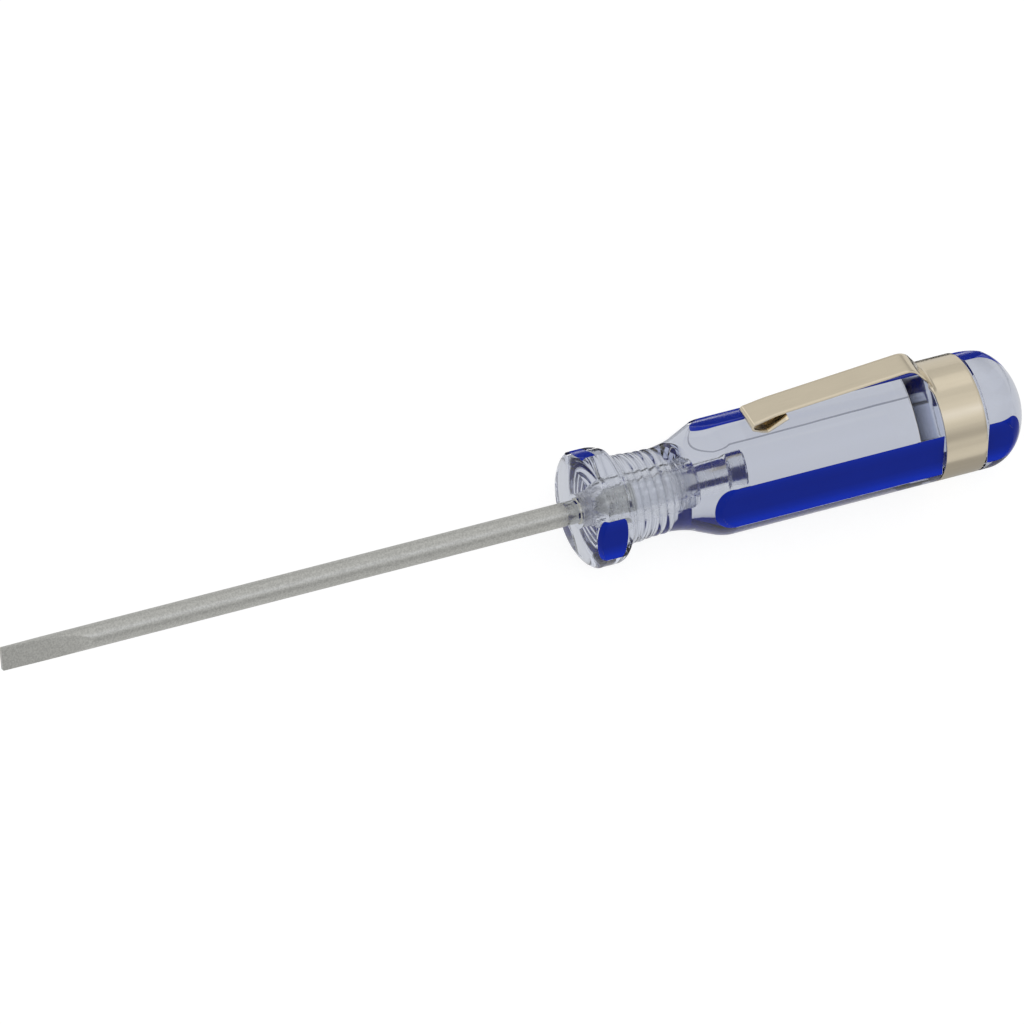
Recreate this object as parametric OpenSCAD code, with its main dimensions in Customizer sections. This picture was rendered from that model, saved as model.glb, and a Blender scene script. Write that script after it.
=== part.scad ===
// Pocket screwdriver with a clear handle, a round blade and a spring clip.
// The tool lies along X with its tip towards -X. The origin is on the blade's axis, at the
// handle's nose face. +Z is up when the tool lies on its bare flat.

/* [Blade] */
// Diameter of the round shank
blade_d = 3.2; // [2.4:0.1:3.6]
// Length of the blade that stands out of the handle
blade_reach = 83; // [60:1:120]
// Length of the blade that the handle holds
tang_len = 24; // [21:0.5:30]
// Thickness of the tip that enters a screw's slot
tip_t = 0.6; // [0.4:0.05:0.9]
// Length of the two hollow grinds that thin the tip
grind_len = 12.5; // [8:0.5:18]
// Turn of the tip's flats about the blade, from straight up
tip_turn = -42; // [-90:1:90]
// Chamfer round the tip's edge on the shank
tip_chamfer = 0.1; // [0.05:0.05:0.3]
// Diameter of the collar that fills out the blade in the wide front of the bore
collar_d = 3.6; // [3.55:0.05:3.8]
// Length of the swaged wings that lock the tang
wing_len = 2.3; // [1.5:0.1:3]
// Width across the swaged wings
wing_w = 3.7; // [3.65:0.05:4.2]
// Thickness of the swaged wings
wing_t = 1.9; // [1.4:0.1:2.2]

/* [Handle] */
// Diameter of the barrel, the flange and the butt
barrel_d = 16; // [15:0.25:18]
// Length of the whole handle
handle_len = 63.9; // [62:0.1:80]
// Depth of the three flats below the barrel's surface
flat_depth = 0.67; // [0.4:0.01:0.9]
// Diameter of the nose face inside its rounded rim
nose_face_d = 12.6; // [11:0.2:14]
// Length of the rounded rim
nose_rim_len = 1.3; // [0.8:0.1:2]
// Distance from the nose face to where the flange's back starts to fall
flange_end = 3.6; // [3:0.1:4.5]
// Length of the flange's rounded back
flange_back_len = 3; // [2.4:0.1:3.6]
// Diameter where the flange's back meets the neck
neck_front_d = 12; // [11.6:0.1:12.6]
// Smallest diameter of the neck
neck_d = 11.2; // [10.6:0.1:11.6]
// Distance from the nose face to the neck's smallest diameter
neck_mid = 11; // [10:0.1:12]
// Distance from the nose face to the ring edge where the shoulder starts
shoulder_start = 15.3; // [14:0.1:16.5]
// Diameter of the ring edge where the shoulder starts
shoulder_d = 12.5; // [12:0.1:13]
// Length of the shoulder cone
shoulder_len = 4.3; // [3.5:0.1:6]
// Height of the domed end
dome_h = 6.1; // [4:0.1:8]
// Length of the straight rim between the clip's groove and the dome
butt_rim_len = 1.25; // [0.6:0.05:3]
// Distance between two grip rings on the neck
ring_pitch = 1.14; // [0.9:0.02:1.3]
// Height of a grip ring
ring_h = 0.09; // [0.04:0.01:0.15]
// Distance from the nose face to the first grip ring
ring_start = 7.15; // [6.65:0.05:7.6]

/* [Bore] */
// Diameter of the wide front of the bore
mouth_d = 4.6; // [4:0.1:5]
// Depth of the wide front of the bore
mouth_depth = 17; // [14:0.5:19]
// Play between the tang and the bore that grips it, on the radius
tang_play = 0.02; // [0.01:0.01:0.05]

/* [Painted fields] */
// Thickness of the paint on a flat
paint_t = 0.12; // [0.08:0.01:0.2]
// Bare length between the nose rim and its painted field
nose_paint_start = 1.6; // [1.4:0.1:2]

/* [Clip] */
// Thickness of the clip's sheet steel
sheet_t = 0.45; // [0.35:0.05:0.5]
// Width of the clip's band along the handle
band_w = 6; // [4:0.1:7]
// Depth of the band's outer face below the barrel's surface
band_sink = 0; // [0:0.01:0.1]
// Running gap between the band and the bottom of its groove
band_play = 0.05; // [0.03:0.01:0.1]
// Gap between the band's front edge and the groove's wall
front_gap = 0.1; // [0.08:0.01:0.2]
// Gap between the band's rear edge and the groove's wall
rear_gap = 0.35; // [0.1:0.05:0.5]
// Gap between the band's two ends
seam_gap = 0.3; // [0.1:0.05:1]
// Turn of the clip about the handle, from straight up
clip_turn = 26; // [-180:1:180]
// Width of the spring arm
arm_w = 3.7; // [3:0.1:5]
// Distance from the band's front edge to the arm's front fold
arm_reach = 26.6; // [20:0.2:28]
// Distance from the band's front edge forward to the arm's hump
hump_back = 2.8; // [2.6:0.1:4]
// Height of the hump's outer face above the barrel
hump_rise = 3.95; // [3.3:0.05:5]
// Height of the front fold's outer face above the barrel
fold_rise = 1.8; // [1.6:0.05:2.6]
// Bend radius at the hump, on the outer face
hump_bend_r = 2.4; // [1.5:0.1:3]
// Inner radius of the sheet's tight bends
bend_inner_r = 0.12; // [0.05:0.01:0.15]
// Length of the folded hook from the front fold to its lowest edge
hook_len = 2.6; // [2.2:0.1:3.4]
// Length of the folded hook from its lowest edge to its end
hook_tail_len = 2.3; // [1.8:0.1:2.6]
// Gap between the hook's lowest edge and the barrel
hook_gap = 0.15; // [0.1:0.05:0.4]
// Radius of the fillets where the arm widens into the band
root_fillet_r = 1.1; // [0.5:0.1:1.5]
// Gap across the bend at which the spring arm is parted from the band
spring_gap = 0.06; // [0.04:0.01:0.1]

/* [Hidden] */
$fn = 96;

// Overrun of every cutting solid past the faces that it cuts
over = 0.5 * sheet_t;

// Turns of the three flats about the handle, from straight up
flat_turns = [-60, 60, 180];
front_flat = flat_turns[0];
back_flat = flat_turns[1];
bare_flat = flat_turns[2];

blade_r = blade_d / 2;
collar_r = collar_d / 2;
tang_relief_share = 0.97;
tang_r = blade_r * tang_relief_share;
barrel_r = barrel_d / 2;
mouth_r = mouth_d / 2;
groove_r = barrel_r - band_sink - sheet_t - band_play;
band_r = barrel_r - band_sink;
band_inner_r = band_r - sheet_t;
dome_start = handle_len - dome_h;
groove_end = dome_start - butt_rim_len;
band_end = groove_end - rear_gap;
band_start = band_end - band_w;
groove_start = band_start - front_gap;
flat_dist = barrel_r - flat_depth;
shoulder_end = shoulder_start + shoulder_len;
flange_foot = flange_end + flange_back_len;

// Steps of the curves in the handle's outline, and the number of grip rings
curve_steps = 8;
dome_steps = 16;
neck_steps = 60;
ring_count = 4;

// Control points of the outline's curves, as shares of the stretch that they bend
nose_rim_shares = [0.25, 0.7];
flange_crest_share = 0.3;
shoulder_round_share = 0.3;

// The flange's back changes from round to hollow half way along
flange_turn_r = (barrel_r + neck_front_d / 2) / 2;
flange_turn = flange_end + flange_back_len / 2;
flange_crest = flange_crest_share * flange_back_len / 2;

function between(a, b, share) = a + (b - a) * share;

function curve(p, q, r, steps) = [
    for (i = [1:steps])
        let (t = i / steps)
            (1 - t) * (1 - t) * p + 2 * t * (1 - t) * q + t * t * r
];

// Turns a path's corners into arcs. Each corner is [x, y, bend radius].
function flat_point(c) = [c[0], c[1]];
function unit(v) = v / norm(v);
function bend(before, corner, after, r, steps) =
    let (
        a = unit(before - corner),
        b = unit(after - corner),
        half = acos(a * b) / 2,
        reach = r / tan(half),
        hub = corner + unit(a + b) * (r / sin(half)),
        from = corner + a * reach - hub,
        to = corner + b * reach - hub,
        sweep = acos(unit(from) * unit(to)),
        side = from[0] * to[1] - from[1] * to[0] > 0 ? 1 : -1
    )
    [
        for (i = [0:steps])
            let (turn = side * sweep * i / steps)
                hub + [
                    from[0] * cos(turn) - from[1] * sin(turn),
                    from[0] * sin(turn) + from[1] * cos(turn)
                ]
    ];
function bent_path(corners, steps) = [
    for (i = [0:len(corners) - 1])
        let (c = corners[i])
            for (p = c[2] == 0
                ? [flat_point(c)]
                : bend(flat_point(corners[i - 1]), flat_point(c), flat_point(corners[i + 1]), c[2], steps))
                p
];

// Outline of the handle as [radius, distance from the nose face]
function ring_lift(z) =
    let (along = (z - ring_start) / ring_pitch)
        along < 0 || along > ring_count ? 0 : ring_h * (1 - cos(360 * along)) / 2;
function eased(from, mid, to, share) =
    (1 - share) * (1 - share) * from + 2 * share * (1 - share) * mid + share * share * to;
function neck_r(z) =
    z < neck_mid
        ? eased(neck_front_d / 2, neck_d / 2, neck_d / 2, (z - flange_foot) / (neck_mid - flange_foot))
        : eased(neck_d / 2, neck_d / 2, shoulder_d / 2, (z - neck_mid) / (shoulder_start - neck_mid));
neck_outline = [
    for (i = [0:neck_steps])
        let (z = between(flange_foot, shoulder_start, i / neck_steps))
            [neck_r(z) + ring_lift(z), z]
];
nose_outline = concat(
    [[0, 0], [nose_face_d / 2, 0]],
    curve(
        [nose_face_d / 2, 0],
        [between(nose_face_d / 2, barrel_r, nose_rim_shares[1]), nose_rim_len * nose_rim_shares[0]],
        [barrel_r, nose_rim_len],
        curve_steps
    ),
    [[barrel_r, flange_end]],
    curve(
        [barrel_r, flange_end],
        [barrel_r, flange_turn - flange_crest],
        [flange_turn_r, flange_turn],
        curve_steps
    ),
    curve(
        [flange_turn_r, flange_turn],
        [neck_front_d / 2, flange_turn + flange_crest],
        [neck_front_d / 2, flange_foot - flange_crest],
        curve_steps
    )
);
shoulder_round = shoulder_len * shoulder_round_share;
shoulder_outline = concat(
    [[between(barrel_r, shoulder_d / 2, shoulder_round_share), shoulder_end - shoulder_round]],
    curve(
        [between(barrel_r, shoulder_d / 2, shoulder_round_share), shoulder_end - shoulder_round],
        [barrel_r, shoulder_end],
        [barrel_r, shoulder_end + shoulder_round],
        curve_steps
    )
);
barrel_outline = [
    [barrel_r, groove_start],
    [groove_r, groove_start],
    [groove_r, groove_end],
    [barrel_r, groove_end],
    [barrel_r, dome_start]
];
dome_outline = [
    for (i = [1:dome_steps])
        let (turn = 90 * i / dome_steps)
            [barrel_r * cos(turn), dome_start + dome_h * sin(turn)]
];
handle_outline = concat(
    nose_outline, neck_outline, shoulder_outline, barrel_outline, dome_outline
);

// The outer surface of the spring arm, from the band to the hook's end
arm_foot = band_start + band_w / 4;
root_lift = band_start + sheet_t;
fold_x = band_start - arm_reach;
hook_drop_share = 0.75;
hook_lean_share = 0.08;
bend_outer_r = bend_inner_r + sheet_t;
hook_low_x = fold_x + hook_len;
hook_end_x = hook_low_x + hook_tail_len;
arm_slope = (hump_rise - fold_rise) / (arm_reach - hump_back);
hook_end_gap = sheet_t / 4;
hook_end_rise = fold_rise + arm_slope * (hook_end_x - fold_x) - 2 * sheet_t - hook_end_gap;
arm_corners = [
    [arm_foot, band_r, 0],
    [root_lift, band_r, sheet_t],
    [band_start - hump_back, barrel_r + hump_rise, hump_bend_r],
    [fold_x, barrel_r + fold_rise, bend_outer_r],
    [fold_x + hook_len * hook_lean_share, barrel_r + fold_rise * (1 - hook_drop_share), bend_outer_r],
    [hook_low_x, barrel_r + hook_gap, bend_outer_r],
    [hook_end_x, barrel_r + hook_end_rise, 0]
];

module along_x() {
    rotate([0, 90, 0]) children();
}

module turned(angle) {
    rotate([-angle, 0, 0]) children();
}

module round_bar(r, from, to) {
    translate([from, 0, 0]) along_x() cylinder(r = r, h = to - from);
}

module handle_blank() {
    along_x() rotate_extrude() polygon(handle_outline);
}

// Everything farther out than a flat that lies at a distance from the axis
module beyond_flat(angle, distance) {
    turned(angle)
        translate([-over, -barrel_d, distance])
            cube([handle_len + 2 * over, 2 * barrel_d, barrel_d]);
}

module tang_wings(play) {
    turned(tip_turn)
        translate([tang_len - wing_len - play, -wing_w / 2 - play, -wing_t / 2 - play])
            cube([wing_len + 2 * play, wing_w + 2 * play, wing_t + 2 * play]);
}

module bore() {
    round_bar(mouth_r, -over, mouth_depth);
    round_bar(tang_r + tang_play, 0, tang_len + tang_play);
    tang_wings(tang_play);
}

module handle() {
    color("lavender", 0.5)
        difference() {
            handle_blank();
            bore();
            beyond_flat(front_flat, flat_dist - paint_t);
            beyond_flat(back_flat, flat_dist - paint_t);
            beyond_flat(bare_flat, flat_dist);
        }
}

// Paint that fills a flat between two places on the axis
module painted_field(angle, from, to) {
    color("mediumblue")
        intersection() {
            handle_blank();
            turned(angle)
                translate([from, -barrel_r, flat_dist - paint_t])
                    cube([to - from, barrel_d, paint_t]);
        }
}

module stripe_front() {
    painted_field(front_flat, shoulder_start, groove_start);
}

module stripe_back() {
    painted_field(back_flat, shoulder_start, groove_start);
}

module nose_field_front() {
    painted_field(front_flat, nose_paint_start, flange_foot);
}

module nose_field_back() {
    painted_field(back_flat, nose_paint_start, flange_foot);
}

module butt_field_front() {
    painted_field(front_flat, groove_end, handle_len);
}

module butt_field_back() {
    painted_field(back_flat, groove_end, handle_len);
}

// Radius of the grinding wheel that leaves tip_t at the tip and runs out at grind_len
grind_depth = blade_r - tip_t / 2;
grind_r = (grind_len * grind_len + grind_depth * grind_depth) / (2 * grind_depth);

module blade() {
    color("silver")
        difference() {
            union() {
                translate([-blade_reach, 0, 0])
                    along_x()
                        cylinder(r1 = blade_r - tip_chamfer, r2 = blade_r, h = tip_chamfer);
                round_bar(blade_r, -blade_reach + tip_chamfer, 0);
                round_bar(collar_r, 0, mouth_depth - tang_play);
                round_bar(tang_r, 0, tang_len);
                tang_wings(0);
            }
            for (side = [0, 180])
                turned(tip_turn + side)
                    translate([-blade_reach, blade_d, tip_t / 2 + grind_r])
                        rotate([90, 0, 0])
                            cylinder(r = grind_r, h = 2 * blade_d, $fn = 240);
        }
}

bend_steps = 6;
arm_path = bent_path(arm_corners, bend_steps);
path_last = len(arm_path) - 1;

// The sheet's inner face lies one thickness from the path, towards the handle
function path_dir(i) = unit(arm_path[min(i + 1, path_last)] - arm_path[max(i - 1, 0)]);
function half_turn_cos(i) =
    i == 0 || i == path_last ? 1 : unit(arm_path[i + 1] - arm_path[i]) * path_dir(i);
function inner_point(i) =
    let (d = path_dir(i))
        arm_path[i] + [d[1], -d[0]] * (-sheet_t / half_turn_cos(i));
sheet_outline = concat(
    arm_path,
    [for (i = [path_last:-1:0]) inner_point(i)]
);

// The spring is parted from the band part of the way up the root
part_share = 0.3;
root_top = arm_corners[2];
part_x = between(root_lift, root_top[0], part_share);
part_h = between(band_r, root_top[1], part_share);
rise_angle = atan2(root_top[1] - band_r, root_lift - root_top[0]);

module on_clip() {
    turned(clip_turn) children();
}

// The folded strip, as wide as asked, with its outer face on the path
module strip(width) {
    translate([0, width / 2, 0])
        rotate([90, 0, 0])
            linear_extrude(width) polygon(sheet_outline);
}

// The half space ahead of the parting plane, moved back from it by a gap
module ahead_of_part(gap) {
    translate([part_x, 0, part_h])
        rotate([0, rise_angle, 0])
            translate([-arm_reach * 2 - gap, -arm_w * 2, -arm_reach])
                cube([arm_reach * 2, arm_w * 4, arm_reach * 2]);
}

module root_plan() {
    flare = arm_w + 2 * root_fillet_r;
    translate([band_start - root_fillet_r, 0, 0])
        linear_extrude(2 * barrel_r)
            difference() {
                translate([0, -flare / 2]) square([arm_foot - band_start + root_fillet_r, flare]);
                for (side = [-1, 1])
                    translate([0, side * flare / 2]) circle(r = root_fillet_r);
            }
}

module clip_band() {
    color("tan")
        on_clip() {
            difference() {
                union() {
                    round_bar(band_r, band_start, band_end);
                    difference() {
                        intersection() {
                            strip(arm_w + 2 * root_fillet_r);
                            root_plan();
                        }
                        ahead_of_part(0);
                    }
                }
                round_bar(band_inner_r, band_start - arm_w, band_end + over);
                translate([band_start - over, -seam_gap / 2, -barrel_d])
                    cube([band_w + 2 * over, seam_gap, barrel_d]);
            }
        }
}

module clip_arm() {
    color("tan")
        on_clip()
            intersection() {
                strip(arm_w);
                ahead_of_part(spring_gap);
            }
}

handle();
blade();
clip_band();
clip_arm();
stripe_front();
stripe_back();
nose_field_front();
nose_field_back();
butt_field_front();
butt_field_back();
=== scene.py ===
"""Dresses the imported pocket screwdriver: a clear moulded handle, a satin steel blade, a sprung
pocket clip and six enamelled fields, on a plain pale floor.

All lengths are in metres, in the frame of the CAD model: +X along the blade's axis from the
handle's nose face towards its butt, +Z up. Turns about the axis run from +Z towards +Y.
"""

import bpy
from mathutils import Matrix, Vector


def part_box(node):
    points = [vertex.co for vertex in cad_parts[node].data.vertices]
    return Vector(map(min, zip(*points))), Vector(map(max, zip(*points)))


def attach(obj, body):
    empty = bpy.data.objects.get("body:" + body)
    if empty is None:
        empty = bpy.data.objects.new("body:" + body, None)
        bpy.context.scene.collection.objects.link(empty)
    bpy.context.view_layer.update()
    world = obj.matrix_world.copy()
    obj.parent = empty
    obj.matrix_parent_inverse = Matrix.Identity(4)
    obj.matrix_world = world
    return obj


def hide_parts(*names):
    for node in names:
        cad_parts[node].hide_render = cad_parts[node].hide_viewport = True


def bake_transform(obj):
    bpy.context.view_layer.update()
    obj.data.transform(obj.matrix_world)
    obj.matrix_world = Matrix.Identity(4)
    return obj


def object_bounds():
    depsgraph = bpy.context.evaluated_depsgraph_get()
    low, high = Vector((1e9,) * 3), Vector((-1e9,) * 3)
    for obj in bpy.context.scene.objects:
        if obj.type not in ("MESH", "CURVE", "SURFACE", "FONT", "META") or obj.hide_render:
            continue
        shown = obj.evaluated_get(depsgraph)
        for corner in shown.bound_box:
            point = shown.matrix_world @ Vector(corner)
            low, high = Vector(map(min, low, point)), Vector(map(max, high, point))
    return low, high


bl_info = {
    "name": "Pocket screwdriver dresser",
    "version": (1, 0, 0),
    "blender": (4, 5, 0),
    "location": "3D View > Sidebar > Screwdriver",
    "description": "Builds the finished pieces of a pocket screwdriver and their studio",
    "category": "Object",
}

import bisect
import math
from contextlib import contextmanager
from functools import partial

import bmesh
import bpy
from bpy.props import FloatProperty, FloatVectorProperty, IntProperty, PointerProperty
from mathutils import Matrix, Vector

MM = 0.001

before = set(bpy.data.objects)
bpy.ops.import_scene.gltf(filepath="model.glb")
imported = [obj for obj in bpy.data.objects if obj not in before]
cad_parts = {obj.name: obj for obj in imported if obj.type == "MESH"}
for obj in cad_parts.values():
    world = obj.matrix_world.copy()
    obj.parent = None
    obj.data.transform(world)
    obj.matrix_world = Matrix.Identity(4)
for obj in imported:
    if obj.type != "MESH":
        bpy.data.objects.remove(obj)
CAD_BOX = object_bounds()
BUTT_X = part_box("handle")[1].x
TIP_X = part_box("blade")[0].x


def linear(code):
    """An sRGB hex colour as linear RGBA."""
    parts = [int(code[i : i + 2], 16) / 255 for i in (1, 3, 5)]
    return (*(c / 12.92 if c <= 0.04045 else ((c + 0.055) / 1.055) ** 2.4 for c in parts), 1.0)


def length(name, millimetres, description):
    return FloatProperty(
        name=name,
        description=description,
        default=millimetres * MM,
        unit="LENGTH",
        precision=5,
    )


def colour(name, code, description):
    return FloatVectorProperty(
        name=name,
        description=description,
        default=linear(code),
        size=4,
        subtype="COLOR",
        min=0,
        max=1,
    )


def turning(name, degrees, description):
    return FloatProperty(
        name=name, description=description, default=math.radians(degrees), subtype="ANGLE"
    )


class HandleSettings(bpy.types.PropertyGroup):
    barrel_r: length("Barrel radius", 8, "Radius of the barrel, the flange and the butt")
    flat_dist: length("Flat distance", 7.33, "Distance of the three flats from the axis")
    face_r: length("Nose face radius", 6.3, "Radius of the nose face inside its rounded rim")
    rim_len: length("Nose rim", 1.3, "Length of the nose's rounded rim")
    flange_end: length("Flange end", 3.6, "Where the flange's back starts to fall")
    flange_back: length("Flange back", 3, "Length of the flange's rounded back")
    neck_front_r: length("Neck front radius", 6, "Radius where the flange meets the neck")
    neck_r: length("Neck radius", 5.6, "Smallest radius of the neck")
    neck_mid: length("Neck middle", 11, "Where the neck is thinnest")
    shoulder_x: length("Shoulder start", 15.3, "Where the shoulder cone starts")
    shoulder_r: length("Shoulder radius", 6.25, "Radius of the ring edge at the shoulder")
    shoulder_len: length("Shoulder length", 4.3, "Length of the shoulder cone")
    dome_h: length("Dome height", 6.1, "Height of the domed end")
    groove_from: length("Groove start", 50.1, "Front wall of the clip's groove")
    groove_to: length("Groove end", 56.55, "Rear wall of the clip's groove")
    groove_r: length("Groove radius", 7.5, "Radius of the groove's bottom")
    ring_start: length("First grip ring", 7.15, "Where the grip rings start")
    ring_pitch: length("Ring pitch", 1.14, "Distance between two grip rings")
    ring_h: length("Ring height", 0.13, "Height of a grip ring")
    ring_count: IntProperty(name="Rings", description="Number of grip rings", default=4, min=0)
    mouth_r: length("Mouth radius", 2.3, "Radius of the wide front of the bore")
    mouth_depth: length("Mouth depth", 17, "Depth of the wide front of the bore")
    bore_r: length("Bore radius", 1.572, "Radius of the bore that grips the tang")
    tint: colour("Tint", "#D3D8EC", "Colour that the clear plastic gives to light inside it")


class BladeSettings(bpy.types.PropertyGroup):
    shank_r: length("Shank radius", 1.6, "Radius of the round shank")
    tang_r: length("Tang radius", 1.552, "Radius of the tang in its bore")
    tang_end: length("Tang end", 23.55, "Where the tang ends inside the handle")
    collar_r: length("Collar radius", 1.8, "Radius of the collar in the wide front of the bore")
    wing_half: length("Wing half width", 1.85, "Half the width across the swaged wings")
    wing_thin: length("Wing half thickness", 0.95, "Half the thickness of the swaged wings")
    wing_len: length("Wing length", 2.3, "Length of the swaged wings")
    tip_t: length("Tip thickness", 0.6, "Thickness of the tip")
    grind_len: length("Grind length", 12.5, "Length of the hollow grinds")
    tip_turn: turning("Tip turn", -42, "Turn of the tip's flats about the axis")
    steel: colour("Steel", "#CFCFCA", "Colour of the blade's steel")


class ClipSettings(bpy.types.PropertyGroup):
    band_from: length("Band start", 50.2, "Front edge of the clip's band")
    band_to: length("Band end", 56.2, "Rear edge of the clip's band")
    band_r: length("Band radius", 8, "Outer radius of the band")
    sheet: length("Sheet", 0.3, "Thickness of the clip's sheet steel")
    arm_half: length("Arm half width", 1.85, "Half the width of the spring arm")
    reach: length("Reach", 26.6, "From the band's front edge to the front fold")
    hump_back: length("Hump place", 2.8, "From the band's front edge to the hump")
    hump_rise: length("Hump rise", 3.947, "Height of the hump above the barrel")
    fold_rise: length("Fold rise", 1.8, "Height of the front fold above the barrel")
    hump_r: length("Hump bend", 2.4, "Bend radius of the hump")
    root_r: length("Root bend", 0.8, "Bend radius where the arm leaves the band")
    toe: length("Toe", 0.5, "How far the strip's near edge swings out at the hook")
    toe_len: length("Toe length", 4.5, "Length over which the strip swings out")
    fold_r: length("Fold bend", 0.52, "Outer radius of the tight bends")
    hook_len: length("Hook length", 2.6, "From the front fold to the hook's lowest edge")
    hook_tail: length("Hook tail", 2.9, "From the hook's lowest edge to its end")
    hook_gap: length("Hook gap", 0.05, "Gap between the hook and the barrel")
    end_gap: length("Hook end gap", 0.75, "From the arm's outside down to the hook's end")
    flare: length("Root flare", 1.1, "How far each root fillet spreads along the band")
    flare_len: length("Root fillet", 0.9, "How far each root fillet runs up the arm")
    seam: length("Seam", 0.3, "Gap between the band's two ends")
    turn: turning("Clip turn", 26, "Turn of the arm about the handle")
    nickel: colour("Nickel", "#E9DDC5", "Colour of the clip's nickel plate")


class FieldSettings(bpy.types.PropertyGroup):
    coat: length("Coat", 0.03, "Thickness of the enamel")
    half_width: length("Half width", 3.2, "Half the width of a painted field")
    nose_from: length("Nose field start", 0.08, "Where the painted nose fields start")
    overlap: length("Overlap", 0.42, "How far the back fields lap past their flats")
    nose_to: length("Nose field end", 4.15, "Where the painted nose fields end")
    stripe_from: length("Stripe start", 16.95, "Where the painted stripes start")
    butt_to: length("Butt field end", 61.7, "Where the painted butt fields end")
    enamel: colour("Enamel", "#0A33C8", "Colour of the painted fields")


class StudioSettings(bpy.types.PropertyGroup):
    focal: FloatProperty(
        name="Focal length",
        description="Focal length of the long lens that stands in for the photograph's",
        default=1500,
        unit="CAMERA",
    )
    view_width: length("View width", 134.2, "Width of the view at the tool")
    floor: colour("Floor", "#F4F4F4", "Colour of the pale floor")


def configured(made, **settings):
    """Gives a new thing its settings and hands it back."""
    for key, value in settings.items():
        setattr(made, key, value)
    return made


def node(tree, kind, inputs=(), operation=None, **settings):
    """Adds a node with its settings; a kind without "Node" in its name is a shader node's. Its
    inputs, by name or in the order in which the node shows them, each get a value or a link from
    a socket or from the first output a node shows."""
    made = tree.nodes.new(kind if "Node" in kind else "ShaderNode" + kind)
    configured(made, **settings)
    if operation:
        made.operation = operation
    shown = [socket for socket in made.inputs if socket.enabled]
    given = inputs.items() if isinstance(inputs, dict) else enumerate(inputs)
    for key, value in given:
        socket = made.inputs[key] if isinstance(key, str) else shown[key]
        if isinstance(value, bpy.types.Node):
            value = next(out for out in value.outputs if out.enabled)
        if isinstance(value, bpy.types.NodeSocket):
            tree.links.new(value, socket)
        else:
            socket.default_value = value
    return made


def set_stops(ramp, stops):
    """Gives a colour ramp its stops, from its first end to its last."""
    marks = ramp.color_ramp.elements
    for (share, level), mark in zip((stops[0], stops[-1]), marks):
        mark.position, mark.color = share, level
    for share, level in stops[1:-1]:
        marks.new(share).color = level


def grey(level):
    return (level, level, level, 1)


def dimmed(tone, share):
    """A colour with less light in it."""
    return (*(c * share for c in tone[:3]), 1)


# Materials

WHITE = linear("#FFFFFF")


def material(name):
    """A new node material, with what adds its nodes and with the object's coordinates."""
    made = bpy.data.materials.new(name)
    made.use_nodes = True
    made.node_tree.nodes.clear()
    add = partial(node, made.node_tree)
    return made, add, add("TexCoord").outputs["Object"]


def distance_from_axis(add, y, z):
    across = add("CombineXYZ", {"Y": y, "Z": z})
    return add("VectorMath", (across,), "LENGTH").outputs["Value"]


def ring_swell(add, x, first, pitch):
    """How many grip rings lie between the first one's start and x, and how high the round rings
    stand there, from 0 to 1."""
    along = add("Math", (x, first), "SUBTRACT")
    ring = add("Math", (along, pitch), "DIVIDE")
    phase = add("Math", (ring, math.pi), "MULTIPLY")
    crest = add("Math", (phase,), "SINE")
    return ring, add("Math", (crest,), "ABSOLUTE")


# A painted dark line outside each edge of the bare flat, which stands in for the flat's edge as
# seen through the plastic: the place of its middle, half its width and where it starts.
EDGE_LINE_OUT, EDGE_LINE_HALF, EDGE_LINE_FROM = 0.19 * MM, 0.025 * MM, 20.8 * MM
# How many ring pitches the frost and its painted shade reach past the rings, and how tightly they
# keep to the roots.
FROST_AND_SHADE_PAST, FROST_AND_SHADE_POWER = 1.2, 2.5


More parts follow.
